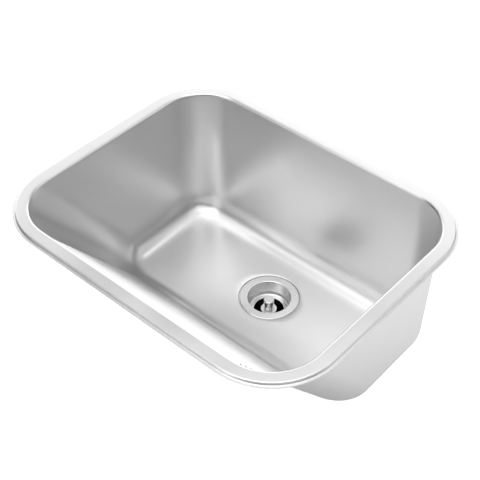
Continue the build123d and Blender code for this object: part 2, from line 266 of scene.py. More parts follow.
class Graph:
    """Short words for adding nodes and joining their sockets."""

    def __init__(self, tree):
        self.tree = tree
        self.tree.nodes.clear()

    def add(self, kind, inputs=None, **settings):
        """Adds a node, sets its properties, then its inputs by name or place."""
        node = self.tree.nodes.new(kind)
        for name, value in settings.items():
            setattr(node, name, value)
        for key, value in (inputs or {}).items():
            self.put(node.inputs[key], value)
        return node

    def put(self, socket, value):
        """A socket takes either another socket or a plain value."""
        if isinstance(value, bpy.types.NodeSocket):
            self.tree.links.new(value, socket)
        else:
            socket.default_value = value

    def math(self, operation, *values):
        """One Math node."""
        return self.add("ShaderNodeMath", dict(enumerate(values)), operation=operation).outputs[0]

    def spread(self, value, low, high, to_low=0.0, to_high=1.0):
        """A smooth change from to_low to to_high as a value goes from low to high."""
        words = {"Value": value, "From Min": low, "From Max": high, "To Min": to_low, "To Max": to_high}
        return self.add("ShaderNodeMapRange", words, interpolation_type="SMOOTHSTEP").outputs[0]

    def parts(self, vector):
        """The x, y and z of a vector."""
        return self.add("ShaderNodeSeparateXYZ", {0: vector}).outputs

    def vector(self, x=0.0, y=0.0, z=0.0):
        """A vector from its x, y and z."""
        return self.add("ShaderNodeCombineXYZ", {0: x, 1: y, 2: z}).outputs[0]

    def square(self, value):
        """A value times itself."""
        return self.math("MULTIPLY", value, value)

    def length(self, x, y):
        """The length of a level vector."""
        return self.math("SQRT", self.math("ADD", self.square(x), self.square(y)))

    def dot(self, first, second):
        """How far two directions agree, from -1 to 1."""
        node = self.add("ShaderNodeVectorMath", {0: first, 1: second}, operation="DOT_PRODUCT")
        return node.outputs["Value"]

    def bump(self, height, strength, distance=0.0001):
        """A fine relief for a material, with its depth in metres."""
        words = {"Strength": strength, "Distance": distance, "Height": height}
        return self.add("ShaderNodeBump", words).outputs[0]

    def blend(self, share, first, second):
        """One colour going over to another."""
        node = self.add("ShaderNodeMix", {0: share}, data_type="RGBA")
        self.put(node.inputs[6], first)
        self.put(node.inputs[7], second)
        return node.outputs[2]


def new_object(name, mesh):
    """Links a mesh to the scene as an object at the origin."""
    piece = bpy.data.objects.new(name, mesh)
    bpy.context.scene.collection.objects.link(piece)
    return piece


def mesh_of(name, points, faces):
    """A mesh in metres from points in millimetres."""
    mesh = bpy.data.meshes.new(name)
    mesh.from_pydata((np.asarray(points) * MM).tolist(), [], faces)
    mesh.update()
    return mesh


def faces_between(rows, count, closed=False, gaps=()):
    """Four-sided faces between rings of points, apart from those named as (row, column) gaps."""
    faces = []
    for row in range(rows if closed else rows - 1):
        a = row * count
        b = (row + 1) % rows * count
        for column in range(count):
            following = (column + 1) % count
            if (row, column) not in gaps:
                faces.append((a + column, a + following, b + following, b + column))
    return faces


def node_modifier(piece, build, **sizes):
    """Runs a Geometry Nodes tree on a piece and leaves its result as the piece's plain mesh."""
    tree = bpy.data.node_groups.new(piece.name + "_shape", "GeometryNodeTree")
    tree.interface.new_socket("Geometry", in_out="INPUT", socket_type="NodeSocketGeometry")
    tree.interface.new_socket("Geometry", in_out="OUTPUT", socket_type="NodeSocketGeometry")
    known = {}
    for name, value in sizes.items():
        socket = tree.interface.new_socket(name, in_out="INPUT", socket_type="NodeSocketFloat")
        socket.default_value = value
        known[name] = socket.identifier
    graph = Graph(tree)
    given = graph.add("NodeGroupInput")
    sockets = {name: given.outputs[name] for name in sizes}
    result = build(graph, given.outputs["Geometry"], sockets)
    realised = graph.add("GeometryNodeRealizeInstances", {0: result}).outputs[0]
    painted = graph.add("GeometryNodeSetMaterial", {"Geometry": realised})
    graph.add("NodeGroupOutput", {"Geometry": painted.outputs[0]})
    modifier = piece.modifiers.new("shape", "NODES")
    modifier.node_group = tree
    for name, value in sizes.items():
        modifier[known[name]] = value
    depsgraph = bpy.context.evaluated_depsgraph_get()
    made = bpy.data.meshes.new_from_object(piece.evaluated_get(depsgraph))
    piece.modifiers.remove(modifier)
    piece.data = made
    return piece


def close_shell(mesh):
    """Merges doubled points, turns the faces outward and marks square edges for a small round."""
    shell = bmesh.new()
    shell.from_mesh(mesh)
    bmesh.ops.remove_doubles(shell, verts=shell.verts, dist=0.01 * MM)
    bmesh.ops.recalc_face_normals(shell, faces=shell.faces)
    weight = shell.edges.layers.float.new("bevel_weight_edge")
    for edge in shell.edges:
        if len(edge.link_faces) == 2 and edge.calc_face_angle() > SQUARE_EDGE:
            edge[weight] = 1
    shell.to_mesh(mesh)
    shell.free()
    mesh.shade_smooth()
    return mesh


def round_square_edges(piece, size, steps=2):
    """A small round on the edges that close_shell marked."""
    edges = piece.modifiers.new("edges", "BEVEL")
    edges.limit_method = "WEIGHT"
    edges.width = size * MM
    edges.segments = steps
    edges.harden_normals = True


def dress(piece, body, slot, *nodes):
    """Says what a piece moves with, which finish it has and which CAD nodes it stands for."""
    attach(piece, body)
    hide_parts(*nodes)
    piece.data.materials.clear()
    piece.data.materials.append(FINISHES[slot])
    return piece


def fan(apart, half, count):
    """Even steps of angle as seen from the drain, as places along a side at a distance from it."""
    return apart * np.tan(np.linspace(-1, 1, count) * atan2(half, apart))


FRONT_SHARES = np.concatenate([-RIB_END_X[::-1], fan(*FRONT_FAN), RIB_END_X]) / RIB_END_X[-1]
BACK_SHARES = -fan(*BACK_FAN) / BACK_FAN[1]


def level(half, front, back, front_r, back_r, z):
    """Points round a rectangle with round corners, with the same samples at every level."""
    run = []
    x_front = half - front_r
    x_back = half - back_r
    y_front = front + front_r
    y_back = back - back_r

    def corner(cx, cy, radius, start):
        for angle in CORNER_ANGLES + start:
            run.append((cx + radius * cos(angle), cy + radius * sin(angle), z))

    run.extend((share * x_front, front, z) for share in FRONT_SHARES)
    corner(x_front, y_front, front_r, -pi / 2)
    run.extend((half, y_front + share * (y_back - y_front), z) for share in SIDE_SHARES)
    corner(x_back, y_back, back_r, 0)
    run.extend((share * x_back, back, z) for share in BACK_SHARES)
    corner(-x_back, y_back, back_r, pi / 2)
    run.extend((-half, y_back + share * (y_front - y_back), z) for share in SIDE_SHARES)
    corner(-x_front, y_front, front_r, pi)
    return np.array(run)


def rim_level(inset, z):
    """A level of the rim, taken in from its outer edge."""
    length, depth, corner = RIM
    return level(length - inset, inset - depth, depth - inset, corner - inset, corner - inset, z)


def mouth_level(z, grow=0.0):
    """A level of the bowl between the rim and the crease."""
    share = z / FLOOR_Z
    half = MOUTH[0] + share * (FLOOR_HALF_LENGTH - MOUTH[0]) + grow
    back = MOUTH[1] + share * (FLOOR_BACK - MOUTH[1]) + grow
    return level(half, -MOUTH[1] - grow, back, MOUTH[2] + grow, MOUTH[2] + grow, z)


def rim_rows():
    """Rings of points from the lip's edge over the shoulder and the flat band to the bowl's mouth."""
    rows = [rim_level(inset, LIP_TOP) for inset in (0, LIP_SAMPLE, LIP_WIDTH - LIP_ROOT)]
    for a in QUARTER[1:]:
        inset = LIP_WIDTH - LIP_ROOT * (1 - sin(a))
        rows.append(rim_level(inset, LIP_TOP + LIP_ROOT * (1 - cos(a))))
    for a in QUARTER:
        rows.append(rim_level(LIP_WIDTH + SHOULDER * (1 - cos(a)), -SHOULDER * (1 - sin(a))))
    band_start = rows[-1]
    band_end = mouth_level(0, MOUTH_ROUND)
    rows.extend(band_start + share * (band_end - band_start) for share in BAND_SHARES)
    for a in np.linspace(0, pi / 2, 9)[1:]:
        rows.append(mouth_level(MOUTH_ROUND * (cos(a) - 1), MOUTH_ROUND * (1 - sin(a))))
    return rows


def wall_rows():
    """Rings of points from the crease under the mouth, down the walls and round the floor's edge."""
    outward = level(1, -1, 1, 1, 1, 0)
    outward /= np.linalg.norm(outward, axis=1)[:, None]
    crease = mouth_level(CREASE_Z)
    foot = level(FLOOR_HALF_LENGTH, FLOOR_FRONT, FLOOR_BACK, FLOOR_CORNER_FRONT, FLOOR_CORNER_BACK, FLOOR_Z)
    height = CREASE_Z - FLOOR_Z
    lean = ((crease - foot) * outward).sum(axis=1)
    steepness = np.arctan2(height, lean)
    contact = FLOOR_ROUND * (1 - np.cos(steepness))
    front_contact = FLOOR_ROUND * (1 - cos(SLOPE))

    def wall(above_floor):
        return foot + (above_floor / height)[:, None] * (crease - foot)

    def wall_at(share):
        return wall(height + share * (contact - height))

    def share_of(along):
        return along * sin(SLOPE) / (height - front_contact)

    rows = []
    upper = mouth_level(CREASE_Z + CREASE_LEG)
    lower = wall_at(share_of(CREASE_LEG))
    for w in np.linspace(0, 1, 6):
        rows.append((1 - w) ** 2 * upper + 2 * w * (1 - w) * crease + w * w * lower)
    steps = np.concatenate([[-RIB_PITCH / 2], -RIB_STEPS[::-1], [0], RIB_STEPS])
    for rib in range(RIB_COUNT):
        middle = FIRST_RIB + rib * RIB_PITCH
        rows.extend(wall_at(share_of(middle + step)) for step in steps)
    last = FIRST_RIB + RIB_COUNT * RIB_PITCH - RIB_PITCH / 2
    end = (height - front_contact) / sin(SLOPE)
    rows.extend(wall_at(share_of(last + share * (end - last))) for share in FOOT_SHARES)
    pulled = wall(contact) - FLOOR_ROUND * np.sin(steepness)[:, None] * outward
    for w in np.linspace(0, 1, 15)[1:]:
        turn = steepness * (1 - w)
        row = pulled + FLOOR_ROUND * np.sin(turn)[:, None] * outward
        row[:, 2] = FLOOR_Z + FLOOR_ROUND * (1 - np.cos(turn))
        rows.append(row)
    return rows


def floor_rows(floor_edge):
    """Rings of points over the flat floor, into the drain's recess and to the hole."""
    drain = np.array([0, DRAIN_Y, FLOOR_Z])
    spoke = floor_edge - drain
    spoke /= np.linalg.norm(spoke, axis=1)[:, None]

    def round_drain(radius, z):
        ring = drain + radius * spoke
        ring[:, 2] = z
        return ring

    circle = round_drain(RECESS_RADIUS + RECESS_EDGE, FLOOR_Z)
    rows = [floor_edge + share * (circle - floor_edge) for share in FLOOR_SHARES]
    for a in QUARTER[1:]:
        radius = RECESS_RADIUS + RECESS_EDGE * (1 - sin(a))
        rows.append(round_drain(radius, FLOOR_Z - RECESS_EDGE * (1 - cos(a))))
    for a in QUARTER:
        radius = RECESS_RADIUS - RECESS_FOOT * (1 - cos(a))
        rows.append(round_drain(radius, LEDGE_Z + RECESS_FOOT * (1 - sin(a))))
    rows.extend(round_drain(radius, LEDGE_Z) for radius in LEDGE_RADII)
    return rows


def press_ribs(graph, geometry, size):
    """Pushes the slope's points up into round-ended ribs."""
    x, y, z = graph.parts(graph.add("GeometryNodeInputPosition").outputs[0])
    from_y = graph.math("SUBTRACT", y, size["Crease Y"])
    from_z = graph.math("SUBTRACT", z, size["Crease Z"])
    run = graph.math("COSINE", size["Slope"])
    fall = graph.math("SINE", size["Slope"])
    along = graph.math("SUBTRACT", graph.math("MULTIPLY", from_y, run), graph.math("MULTIPLY", from_z, fall))
    off = graph.math("ADD", graph.math("MULTIPLY", from_y, fall), graph.math("MULTIPLY", from_z, run))
    step = graph.math("DIVIDE", graph.math("SUBTRACT", along, size["First"]), size["Pitch"])
    last = graph.math("SUBTRACT", size["Count"], 1.0)
    index = graph.math("MINIMUM", graph.math("MAXIMUM", graph.math("ROUND", step), 0.0), last)
    across = graph.math("MULTIPLY", graph.math("SUBTRACT", step, index), size["Pitch"])
    past_end = graph.math("SUBTRACT", graph.math("ABSOLUTE", x), size["Half Length"])
    past_end = graph.math("MAXIMUM", past_end, 0.0)
    reach = graph.math("ADD", graph.square(across), graph.square(past_end))
    dome = graph.math("SUBTRACT", graph.square(size["Bar"]), reach)
    dome = graph.math("SQRT", graph.math("MAXIMUM", dome, 0.0))
    crown = graph.math("SUBTRACT", dome, size["Sunk"])
    rise = graph.math("ADD", crown, graph.length(crown, size["Blend"]))
    rise = graph.math("MULTIPLY", rise, 0.5)
    on_slope = graph.math("LESS_THAN", graph.math("ABSOLUTE", off), size["Near"])
    rise = graph.math("MULTIPLY", rise, on_slope)
    offset = graph.vector(0.0, graph.math("MULTIPLY", rise, fall), graph.math("MULTIPLY", rise, run))
    return graph.add("GeometryNodeSetPosition", {"Geometry": geometry, "Offset": offset}).outputs[0]


def make_basin():
    """The whole pressed sheet, with its ribs and its thickness."""
    rows = rim_rows() + wall_rows()
    rows += floor_rows(rows[-1])
    mesh = mesh_of("basin_sheet", np.concatenate(rows), faces_between(len(rows), len(rows[0])))
    piece = new_object("basin_sheet", mesh)
    bar = (RIB_WIDTH ** 2 / 4 + RIB_HEIGHT ** 2) / (2 * RIB_HEIGHT)
    sizes = {
        "Crease Y": -MOUTH[1], "Crease Z": CREASE_Z, "First": FIRST_RIB, "Pitch": RIB_PITCH,
        "Half Length": RIB_HALF_LENGTH - RIB_WIDTH / 2, "Bar": bar, "Sunk": bar - RIB_HEIGHT,
        "Blend": RIB_FOOT_BLEND, "Near": ON_SLOPE,
    }
    in_metres = {name: value * MM for name, value in sizes.items()}
    node_modifier(piece, press_ribs, Slope=SLOPE, Count=float(RIB_COUNT), **in_metres)
    piece.data.shade_smooth()
    wall = piece.modifiers.new("sheet", "SOLIDIFY")
    wall.thickness = SHEET * MM
    wall.offset = -1
    wall.use_even_offset = True
    return dress(piece, "sink", "pressed_steel", "basin")


def soft_profile(corners, steps=6):
    """A closed outline of (radius, height) points; a third number on a corner rounds it."""
    outline = []
    count = len(corners)
    for index, corner in enumerate(corners):
        here = np.array(corner[:2])
        if len(corner) == 2:
            outline.append(tuple(here))
            continue
        before = np.array(corners[index - 1][:2]) - here
        after = np.array(corners[(index + 1) % count][:2]) - here
        before_length = np.linalg.norm(before)
        after_length = np.linalg.norm(after)
        before = before / before_length
        after = after / after_length
        half_angle = np.arccos(np.clip(before @ after, -1, 1)) / 2
        leg = corner[2] / tan(half_angle)
        middle = here + (before + after) / np.linalg.norm(before + after) * corner[2] / sin(half_angle)
        first = here + before * leg - middle
        last = here + after * leg - middle
        sweep = pi - 2 * half_angle
        outline.append(tuple(here + before * min(leg + FLAT_SAMPLE, 0.5 * (leg + before_length))))
        for step in np.linspace(0, 1, steps + 1):
            ray = (sin((1 - step) * sweep) * first + sin(step * sweep) * last) / sin(sweep)
            outline.append(tuple(middle + ray))
        outline.append(tuple(here + after * min(leg + FLAT_SAMPLE, 0.5 * (leg + after_length))))
    return outline


def fine_run(radius, high, low, step):
    """Closely spaced outline points down a face that takes a thread."""
    return [(radius, height) for height in np.linspace(high, low, int((high - low) / step) + 1)]


def plain_columns(count):
    """Even angles, the same at every radius."""
    angles = np.linspace(0, 2 * pi, count, endpoint=False)
    return lambda radius: angles


def turned_rows(outline, columns):
    """A ring of points about the drain's axis for each point of an outline."""
    rows = []
    for radius, height in outline:
        angles = columns(radius)
        x = radius * np.cos(angles)
        y = DRAIN_Y + radius * np.sin(angles)
        rows.append(np.stack([x, y, 0 * angles + height], 1))
    return rows


def turned_mesh(name, outline, columns):
    """A shell turned about the drain's axis from a closed outline."""
    rows = turned_rows(outline, columns)
    return mesh_of(name, np.concatenate(rows), faces_between(len(rows), len(rows[0]), closed=True))


def cut_thread(graph, geometry, size):
    """Cuts a thread with a round root into the outside between two heights."""
    x, y, z = graph.parts(graph.add("GeometryNodeInputPosition").outputs[0])
    across = graph.math("SUBTRACT", y, size["Axis Y"])
    radius = graph.length(x, across)
    turn = graph.math("ARCTAN2", across, x)
    climb = graph.math("DIVIDE", graph.math("MULTIPLY", z, 2 * pi), size["Pitch"])
    wave = graph.math("COSINE", graph.math("SUBTRACT", climb, turn))
    wave = graph.math("MULTIPLY", graph.math("SUBTRACT", 1.0, wave), 0.5)
    low_end = graph.math("ADD", size["Low"], size["Pitch"])
    high_end = graph.math("SUBTRACT", size["High"], size["Pitch"])
    rise = graph.spread(z, size["Low"], low_end)
    fall = graph.spread(z, size["High"], high_end)
    wave = graph.math("MULTIPLY", wave, graph.math("MULTIPLY", rise, fall))
    outside = graph.math("GREATER_THAN", radius, size["Outside"])
    cut = graph.math("MULTIPLY", wave, graph.math("MULTIPLY", outside, size["Depth"]))
    inward = graph.math("MULTIPLY", cut, -1.0)
    share = graph.math("DIVIDE", inward, graph.math("MAXIMUM", radius, size["Depth"]))
    offset = graph.vector(graph.math("MULTIPLY", x, share), graph.math("MULTIPLY", across, share), 0.0)
    return graph.add("GeometryNodeSetPosition", {"Geometry": geometry, "Offset": offset}).outputs[0]


def thread(piece, radius, low, high, pitch, depth):
    """Threads a turned piece on the drain's axis."""
    sizes = {
        "Axis Y": DRAIN_Y, "Outside": radius - THREAD_SKIN, "Low": low, "High": high, "Pitch": pitch,
        "Depth": depth,
    }
    return node_modifier(piece, cut_thread, **{name: value * MM for name, value in sizes.items()})


def cup_columns(radius):
    """Angles that follow the straight edges of the two spokes across the cup's floor."""
    spoke = asin(SPOKE_WIDTH / 2 / min(radius, KIDNEY_OUTER))
    on_spoke = np.linspace(-spoke, spoke, SPOKE_COLUMNS, endpoint=False)
    on_opening = np.linspace(spoke, pi - spoke, OPENING_COLUMNS, endpoint=False)
    half = np.concatenate([on_spoke, on_opening])
    return SPOKE_TURN + np.concatenate([half, half + pi])


def make_strainer_cup():
    """Rolled flange, threaded throat and a floor with two kidney-shaped openings."""
    under = FLANGE_TOP - SHEET
    inner = FLANGE_RADIUS - SHEET
    outside = THROAT_RADIUS + SHEET
    thread_end = CUP_STRAIGHT_Z - THROAT_TAPER
    outline = soft_profile([
        (THROAT_RADIUS, FLANGE_TOP, THROAT_LIP), (FLANGE_RADIUS, FLANGE_TOP, FLANGE_EDGE),
        (FLANGE_RADIUS, under - FLANGE_ROLL), (inner, under - FLANGE_ROLL), (inner, under, FLANGE_INNER_EDGE),
        (outside, under), (outside, CUP_THREAD_TOP),
        *fine_run(CUP_THREAD_RADIUS, CUP_THREAD_TOP, thread_end, THREAD_SAMPLE),
        (outside - THROAT_TAPER, thread_end), (CUP_FLOOR_RADIUS + SHEET, CUP_UNDER_Z, CUP_FLOOR_ROUND),
        *((radius, CUP_UNDER_Z) for radius in KIDNEY_RADII),
        (BUSH_BARREL_RADIUS, CUP_UNDER_Z), (BUSH_BARREL_RADIUS, CUP_FLOOR_Z),
        *((radius, CUP_FLOOR_Z) for radius in KIDNEY_RADII[::-1]),
        (CUP_FLOOR_RADIUS, CUP_FLOOR_Z, CUP_FLOOR_ROUND),
        (THROAT_RADIUS - THROAT_TAPER, CUP_STRAIGHT_Z, CUP_FLOOR_ROUND),
    ])
    rows = turned_rows(outline, cup_columns)
    count = len(rows[0])
    half = count // 2
    upper = [outline.index((radius, CUP_FLOOR_Z)) for radius in KIDNEY_RADII]
    lower = [outline.index((radius, CUP_UNDER_Z)) for radius in KIDNEY_RADII]
    openings = [range(SPOKE_COLUMNS, half), range(half + SPOKE_COLUMNS, count)]
    open_rows = sorted(upper)[:-1] + sorted(lower)[:-1]
    gaps = {(row, column) for row in open_rows for span in openings for column in span}
    faces = faces_between(len(rows), count, closed=True, gaps=gaps)
    for span in openings:
        for edge in (0, -1):
            a = upper[edge] * count
            b = lower[edge] * count
            faces.extend((a + c, a + (c + 1) % count, b + (c + 1) % count, b + c) for c in span)
        for column in (span[0], (span[-1] + 1) % count):
            for k in range(len(KIDNEY_RADII) - 1):
                corners = (upper[k], upper[k + 1], lower[k + 1], lower[k])
                faces.append(tuple(row * count + column for row in corners))
    mesh = mesh_of("strainer_cup", np.concatenate(rows), faces)
    piece = new_object("strainer_cup_dressed", close_shell(mesh))
    thread(piece, CUP_THREAD_RADIUS, thread_end, CUP_THREAD_TOP, CUP_THREAD_PITCH, CUP_THREAD_DEPTH)
    round_square_edges(piece, 0.15)
    return dress(piece, "sink", "drain_steel", "strainer_cup")


def spin_lugs(graph, geometry, size):
    """Copies of one lug, evenly spaced round the drain's axis."""
    points = graph.add("GeometryNodePoints", {"Count": size["Count"]}).outputs[0]
    index = graph.add("GeometryNodeInputIndex").outputs[0]
    turn = graph.math("DIVIDE", graph.math("MULTIPLY", index, 2 * pi), size["Count"])
    words = {"Points": points, "Instance": geometry, "Rotation": graph.vector(0.0, 0.0, turn)}
    copies = graph.add("GeometryNodeInstanceOnPoints", words).outputs[0]
    copies = graph.add("GeometryNodeRealizeInstances", {0: copies}).outputs[0]
    offset = graph.vector(0.0, size["Axis Y"], 0.0)
    return graph.add("GeometryNodeSetPosition", {"Geometry": copies, "Offset": offset}).outputs[0]


def make_locknut():
    """Cast ring with eight tapered lugs, each with a shallow groove across its end."""
    low = NUT_RING_TOP - NUT_RING_HEIGHT
    bottom = low + NUT_GROOVE_DEPTH
    bore = CUP_THREAD_RADIUS
    ring = turned_mesh("locknut_ring", soft_profile([
        (bore, NUT_RING_TOP), (NUT_RING_RADIUS, NUT_RING_TOP), (NUT_RING_RADIUS, low),
        (NUT_GROOVE_OUTER, low), (NUT_GROOVE_OUTER - NUT_GROOVE_SIDE, bottom),
        (NUT_GROOVE_INNER + NUT_GROOVE_SIDE, bottom), (NUT_GROOVE_INNER, low), (bore, low),
    ]), plain_columns(TURNED_COLUMNS))
    root = NUT_RING_RADIUS - LUG_ROOT
    tip = NUT_RING_RADIUS + LUG_REACH
    shoulder = LUG_HALF_WIDTH - LUG_TAPER
    side = [
        (root, LUG_HALF_WIDTH), (tip - LUG_CORNER, shoulder), (tip, shoulder - LUG_CORNER),
        (tip, LUG_GROOVE_HALF_WIDTH), (tip - LUG_GROOVE_DEPTH, LUG_GROOVE_HALF_WIDTH - LUG_GROOVE_DEPTH),
    ]
    plan = [(x, -y) for x, y in side] + side[::-1]
    points = [(x, y, height) for height in (low, NUT_RING_TOP) for x, y in plan]
    count = len(plan)
    faces = [tuple(range(count - 1, -1, -1)), tuple(range(count, 2 * count))]
    faces += [(k, (k + 1) % count, count + (k + 1) % count, count + k) for k in range(count)]
    piece = new_object("locknut_dressed", mesh_of("locknut_lug", points, faces))
    node_modifier(piece, spin_lugs, **{"Count": float(LUG_COUNT), "Axis Y": DRAIN_Y * MM})
    joined = bmesh.new()
    joined.from_mesh(piece.data)
    joined.from_mesh(ring)
    joined.to_mesh(piece.data)
    joined.free()
    close_shell(piece.data)
    round_square_edges(piece, 0.5, 3)
    return dress(piece, "sink", "cast_nut", "locknut")


def make_outlet_body():
    """Chamber with its brazed collar, conical seat and the outlet's threaded nose."""
    collar_low = CUP_UNDER_Z - COLLAR_HEIGHT
    nose_top = SEAT_BOTTOM - RELIEF_HEIGHT
    mesh = turned_mesh("outlet_body", soft_profile([
        (CHAMBER_RADIUS, CUP_UNDER_Z), (COLLAR_RADIUS, CUP_UNDER_Z), (COLLAR_RADIUS, collar_low, 0.8),
        (CHAMBER_OUTSIDE, collar_low, 1.0), (CHAMBER_OUTSIDE, SEAT_TOP, 2.0),
        (OUTLET_SHOULDER, SEAT_BOTTOM, 0.6), (RELIEF_RADIUS, SEAT_BOTTOM, 0.3),
        (RELIEF_RADIUS, nose_top + RELIEF_SLOPE),
        *fine_run(OUTLET_RADIUS, nose_top, OUTLET_END + OUTLET_CHAMFER, THREAD_SAMPLE),
        (OUTLET_RADIUS - OUTLET_CHAMFER, OUTLET_END), (OUTLET_BORE, OUTLET_END),
        (OUTLET_BORE, SEAT_BOTTOM, 0.4), (CHAMBER_RADIUS, SEAT_TOP, 0.6),
    ]), plain_columns(TURNED_COLUMNS))
    piece = new_object("outlet_body_dressed", close_shell(mesh))
    thread(piece, OUTLET_RADIUS, OUTLET_END, nose_top, OUTLET_THREAD_PITCH, OUTLET_THREAD_DEPTH)
    round_square_edges(piece, 0.2)
    return dress(piece, "sink", "outlet_brass", "outlet_body")


def make_stem():
    """Post with a spigot, a groove for its ring and a threaded neck."""
    mesh = turned_mesh("stopper_stem", soft_profile([
        (0, SOCKET_TOP), (NECK_RADIUS, SOCKET_TOP), (NECK_RADIUS, KNOB_BOTTOM), (STEM_RADIUS, KNOB_BOTTOM),
        (STEM_RADIUS, GROOVE_TOP, 0.2), (GROOVE_RADIUS, GROOVE_TOP), (GROOVE_RADIUS, GROOVE_BOTTOM),
        (STEM_RADIUS, GROOVE_BOTTOM, 0.2), (STEM_RADIUS, NECK_TOP, 0.4), (NECK_RADIUS, NECK_TOP),
        *fine_run(NECK_RADIUS, NECK_THREAD_TOP, NECK_END + NECK_CHAMFER, NECK_THREAD_SAMPLE),
        (NECK_RADIUS - NECK_CHAMFER, NECK_END), (0, NECK_END),
    ]), plain_columns(STEM_COLUMNS))
    piece = new_object("stopper_stem_dressed", close_shell(mesh))
    thread(piece, NECK_RADIUS, NECK_END, NECK_THREAD_TOP, NECK_THREAD_PITCH, NECK_THREAD_DEPTH)
    round_square_edges(piece, 0.1)
    return dress(piece, "stopper", "turned_steel", "stopper_stem")


def make_knob():
    """Low round head with soft edges."""
    mesh = turned_mesh("stopper_knob", soft_profile([
        (0, KNOB_TOP), (KNOB_RADIUS, KNOB_TOP, KNOB_TOP_EDGE), (KNOB_RADIUS, KNOB_BOTTOM, KNOB_BOTTOM_EDGE),
        (NECK_RADIUS, KNOB_BOTTOM), (NECK_RADIUS, SOCKET_TOP), (0, SOCKET_TOP),
    ], 8), plain_columns(KNOB_COLUMNS))
    piece = new_object("stopper_knob_dressed", close_shell(mesh))
    return dress(piece, "stopper", "turned_steel", "stopper_knob")


def make_hex_nut():
    """Six-sided nut whose corners are chamfered at both ends."""
    columns = plain_columns(HEX_NUT_COLUMNS)
    flat = HEX_NUT_FLATS / 2
    corner = flat / np.cos(columns(flat) % (pi / 3) - pi / 6)
    chamfer = (corner - flat) * tan(radians(30)) + HEX_NUT_CHAMFER
    low = HEX_NUT_TOP - HEX_NUT_HEIGHT
    outline = [
        (NECK_RADIUS, low), (flat - HEX_NUT_INSET, low), (corner, low + chamfer),
        (corner, HEX_NUT_TOP - chamfer), (flat - HEX_NUT_INSET, HEX_NUT_TOP), (NECK_RADIUS, HEX_NUT_TOP),
    ]
    piece = new_object("keeper_nut_dressed", close_shell(turned_mesh("keeper_nut", outline, columns)))
    piece.data.shade_flat()
    return dress(piece, "stopper", "turned_steel", "keeper_nut")


def new_finish(name):
    """An empty node material, the place of a point on the piece and its node helper."""
    material = bpy.data.materials.new(name)
    material.use_nodes = True
    graph = Graph(material.node_tree)
    return material, graph, graph.add("ShaderNodeTexCoord").outputs["Object"]


def noise(graph, place, scale, detail=2.0, roughness=0.5):
    """Fine or coarse cloudy variation, from 0 to 1."""
    words = {"Vector": place, "Scale": scale, "Detail": detail, "Roughness": roughness}
    return graph.add("ShaderNodeTexNoise", words).outputs[0]


def settle(graph, colour, roughness, bump, metallic=0.0):
    """The shader and the output that end every finish."""
    words = {"Base Color": colour, "Metallic": metallic, "Roughness": roughness, "Normal": bump}
    shader = graph.add("ShaderNodeBsdfPrincipled", words)
    graph.add("ShaderNodeOutputMaterial", {0: shader.outputs[0]})


def shade(colour, share):
    """A colour made lighter or darker."""
    return tuple(share * part for part in colour) + (1,)


def pressed_finish(name, colour, roughness):
    """Satin sheet: very fine brush lines, crosswise on the end walls, and a faint cloudiness."""
    material, graph, place = new_finish(name)
    facing = graph.parts(graph.add("ShaderNodeNewGeometry").outputs["Normal"])
    lines = []
    for stretch in ((0.02, 1.0, 1.0), (1.0, 0.02, 1.0)):
        squeezed = graph.add("ShaderNodeMapping", {"Vector": place, "Scale": stretch}).outputs[0]
        lines.append(noise(graph, squeezed, scale=2600.0, roughness=0.6))
    sideways = graph.spread(graph.math("ABSOLUTE", facing[0]), 0.55, 0.85)
    brushed = graph.add("ShaderNodeMix", {0: sideways, 2: lines[0], 3: lines[1]}).outputs[0]
    cloud = noise(graph, place, scale=9.0)
    tint = graph.blend(graph.spread(brushed, 0.3, 0.7), shade(colour, 0.97), shade(colour, 1.0))
    rough = graph.spread(cloud, 0.3, 0.7, roughness - 0.02, roughness + 0.02)
    settle(graph, tint, rough, graph.bump(brushed, 0.05), metallic=1.0)
    return material


def turned_finish(name, colour, roughness, groove, stain_and_shade=0.0, stain_and_shade_colour=None):
    """Metal cut on a lathe: fine rings about the drain's axis; stained metal also has cloudy stains, and its
    faces turned towards the axis get a near-black painted shade.
    """
    material, graph, place = new_finish(name)
    x, y, z = graph.parts(place)
    across = graph.math("SUBTRACT", y, DRAIN_Y * MM)
    radius = graph.length(x, across)
    rings = noise(graph, graph.vector(radius, 0.0, z), scale=3200.0, detail=1.0, roughness=0.6)
    cloud = noise(graph, place, scale=60.0, detail=3.0)
    tint = graph.blend(graph.spread(rings, 0.3, 0.7), shade(colour, 0.95), shade(colour, 1.0))
    if stain_and_shade:
        tint = graph.blend(graph.spread(cloud, 0.42, 0.72, 0.0, stain_and_shade), tint, shade(stain_and_shade_colour, 1.0))
        # Painted shade: faces turned towards the drain's axis are blended to near black, standing in for the
        # dark inside the chamber.
        normal = graph.add("ShaderNodeNewGeometry").outputs["Normal"]
        outward = graph.vector(graph.math("DIVIDE", x, radius), graph.math("DIVIDE", across, radius), 0.0)
        painted_inner_shade = graph.spread(graph.dot(normal, outward), -0.3, -0.1, 1.0, 0.0)
        tint = graph.blend(painted_inner_shade, tint, shade(stain_and_shade_colour, 0.05))
    rough = graph.spread(cloud, 0.3, 0.7, roughness - 0.03, roughness + 0.04)
    settle(graph, tint, rough, graph.bump(rings, groove), metallic=1.0)
    return material


def cast_finish(name, colour):
    """Die-cast alloy: a close grain, dull skin and small dark pits."""
    material, graph, place = new_finish(name)
    grain = noise(graph, place, scale=1400.0, roughness=0.7)
    cloud = noise(graph, place, scale=90.0)
    pits = graph.spread(noise(graph, place, scale=700.0, detail=1.0), 0.68, 0.76)
    tint = graph.blend(graph.spread(cloud, 0.3, 0.7), shade(colour, 0.9), shade(colour, 1.0))
    tint = graph.blend(pits, tint, shade(colour, 0.45))
    bump = graph.bump(graph.math("SUBTRACT", grain, pits), 0.35, 0.0002)
    settle(graph, tint, graph.spread(grain, 0.3, 0.7, 0.42, 0.56), bump, metallic=1.0)
    return material


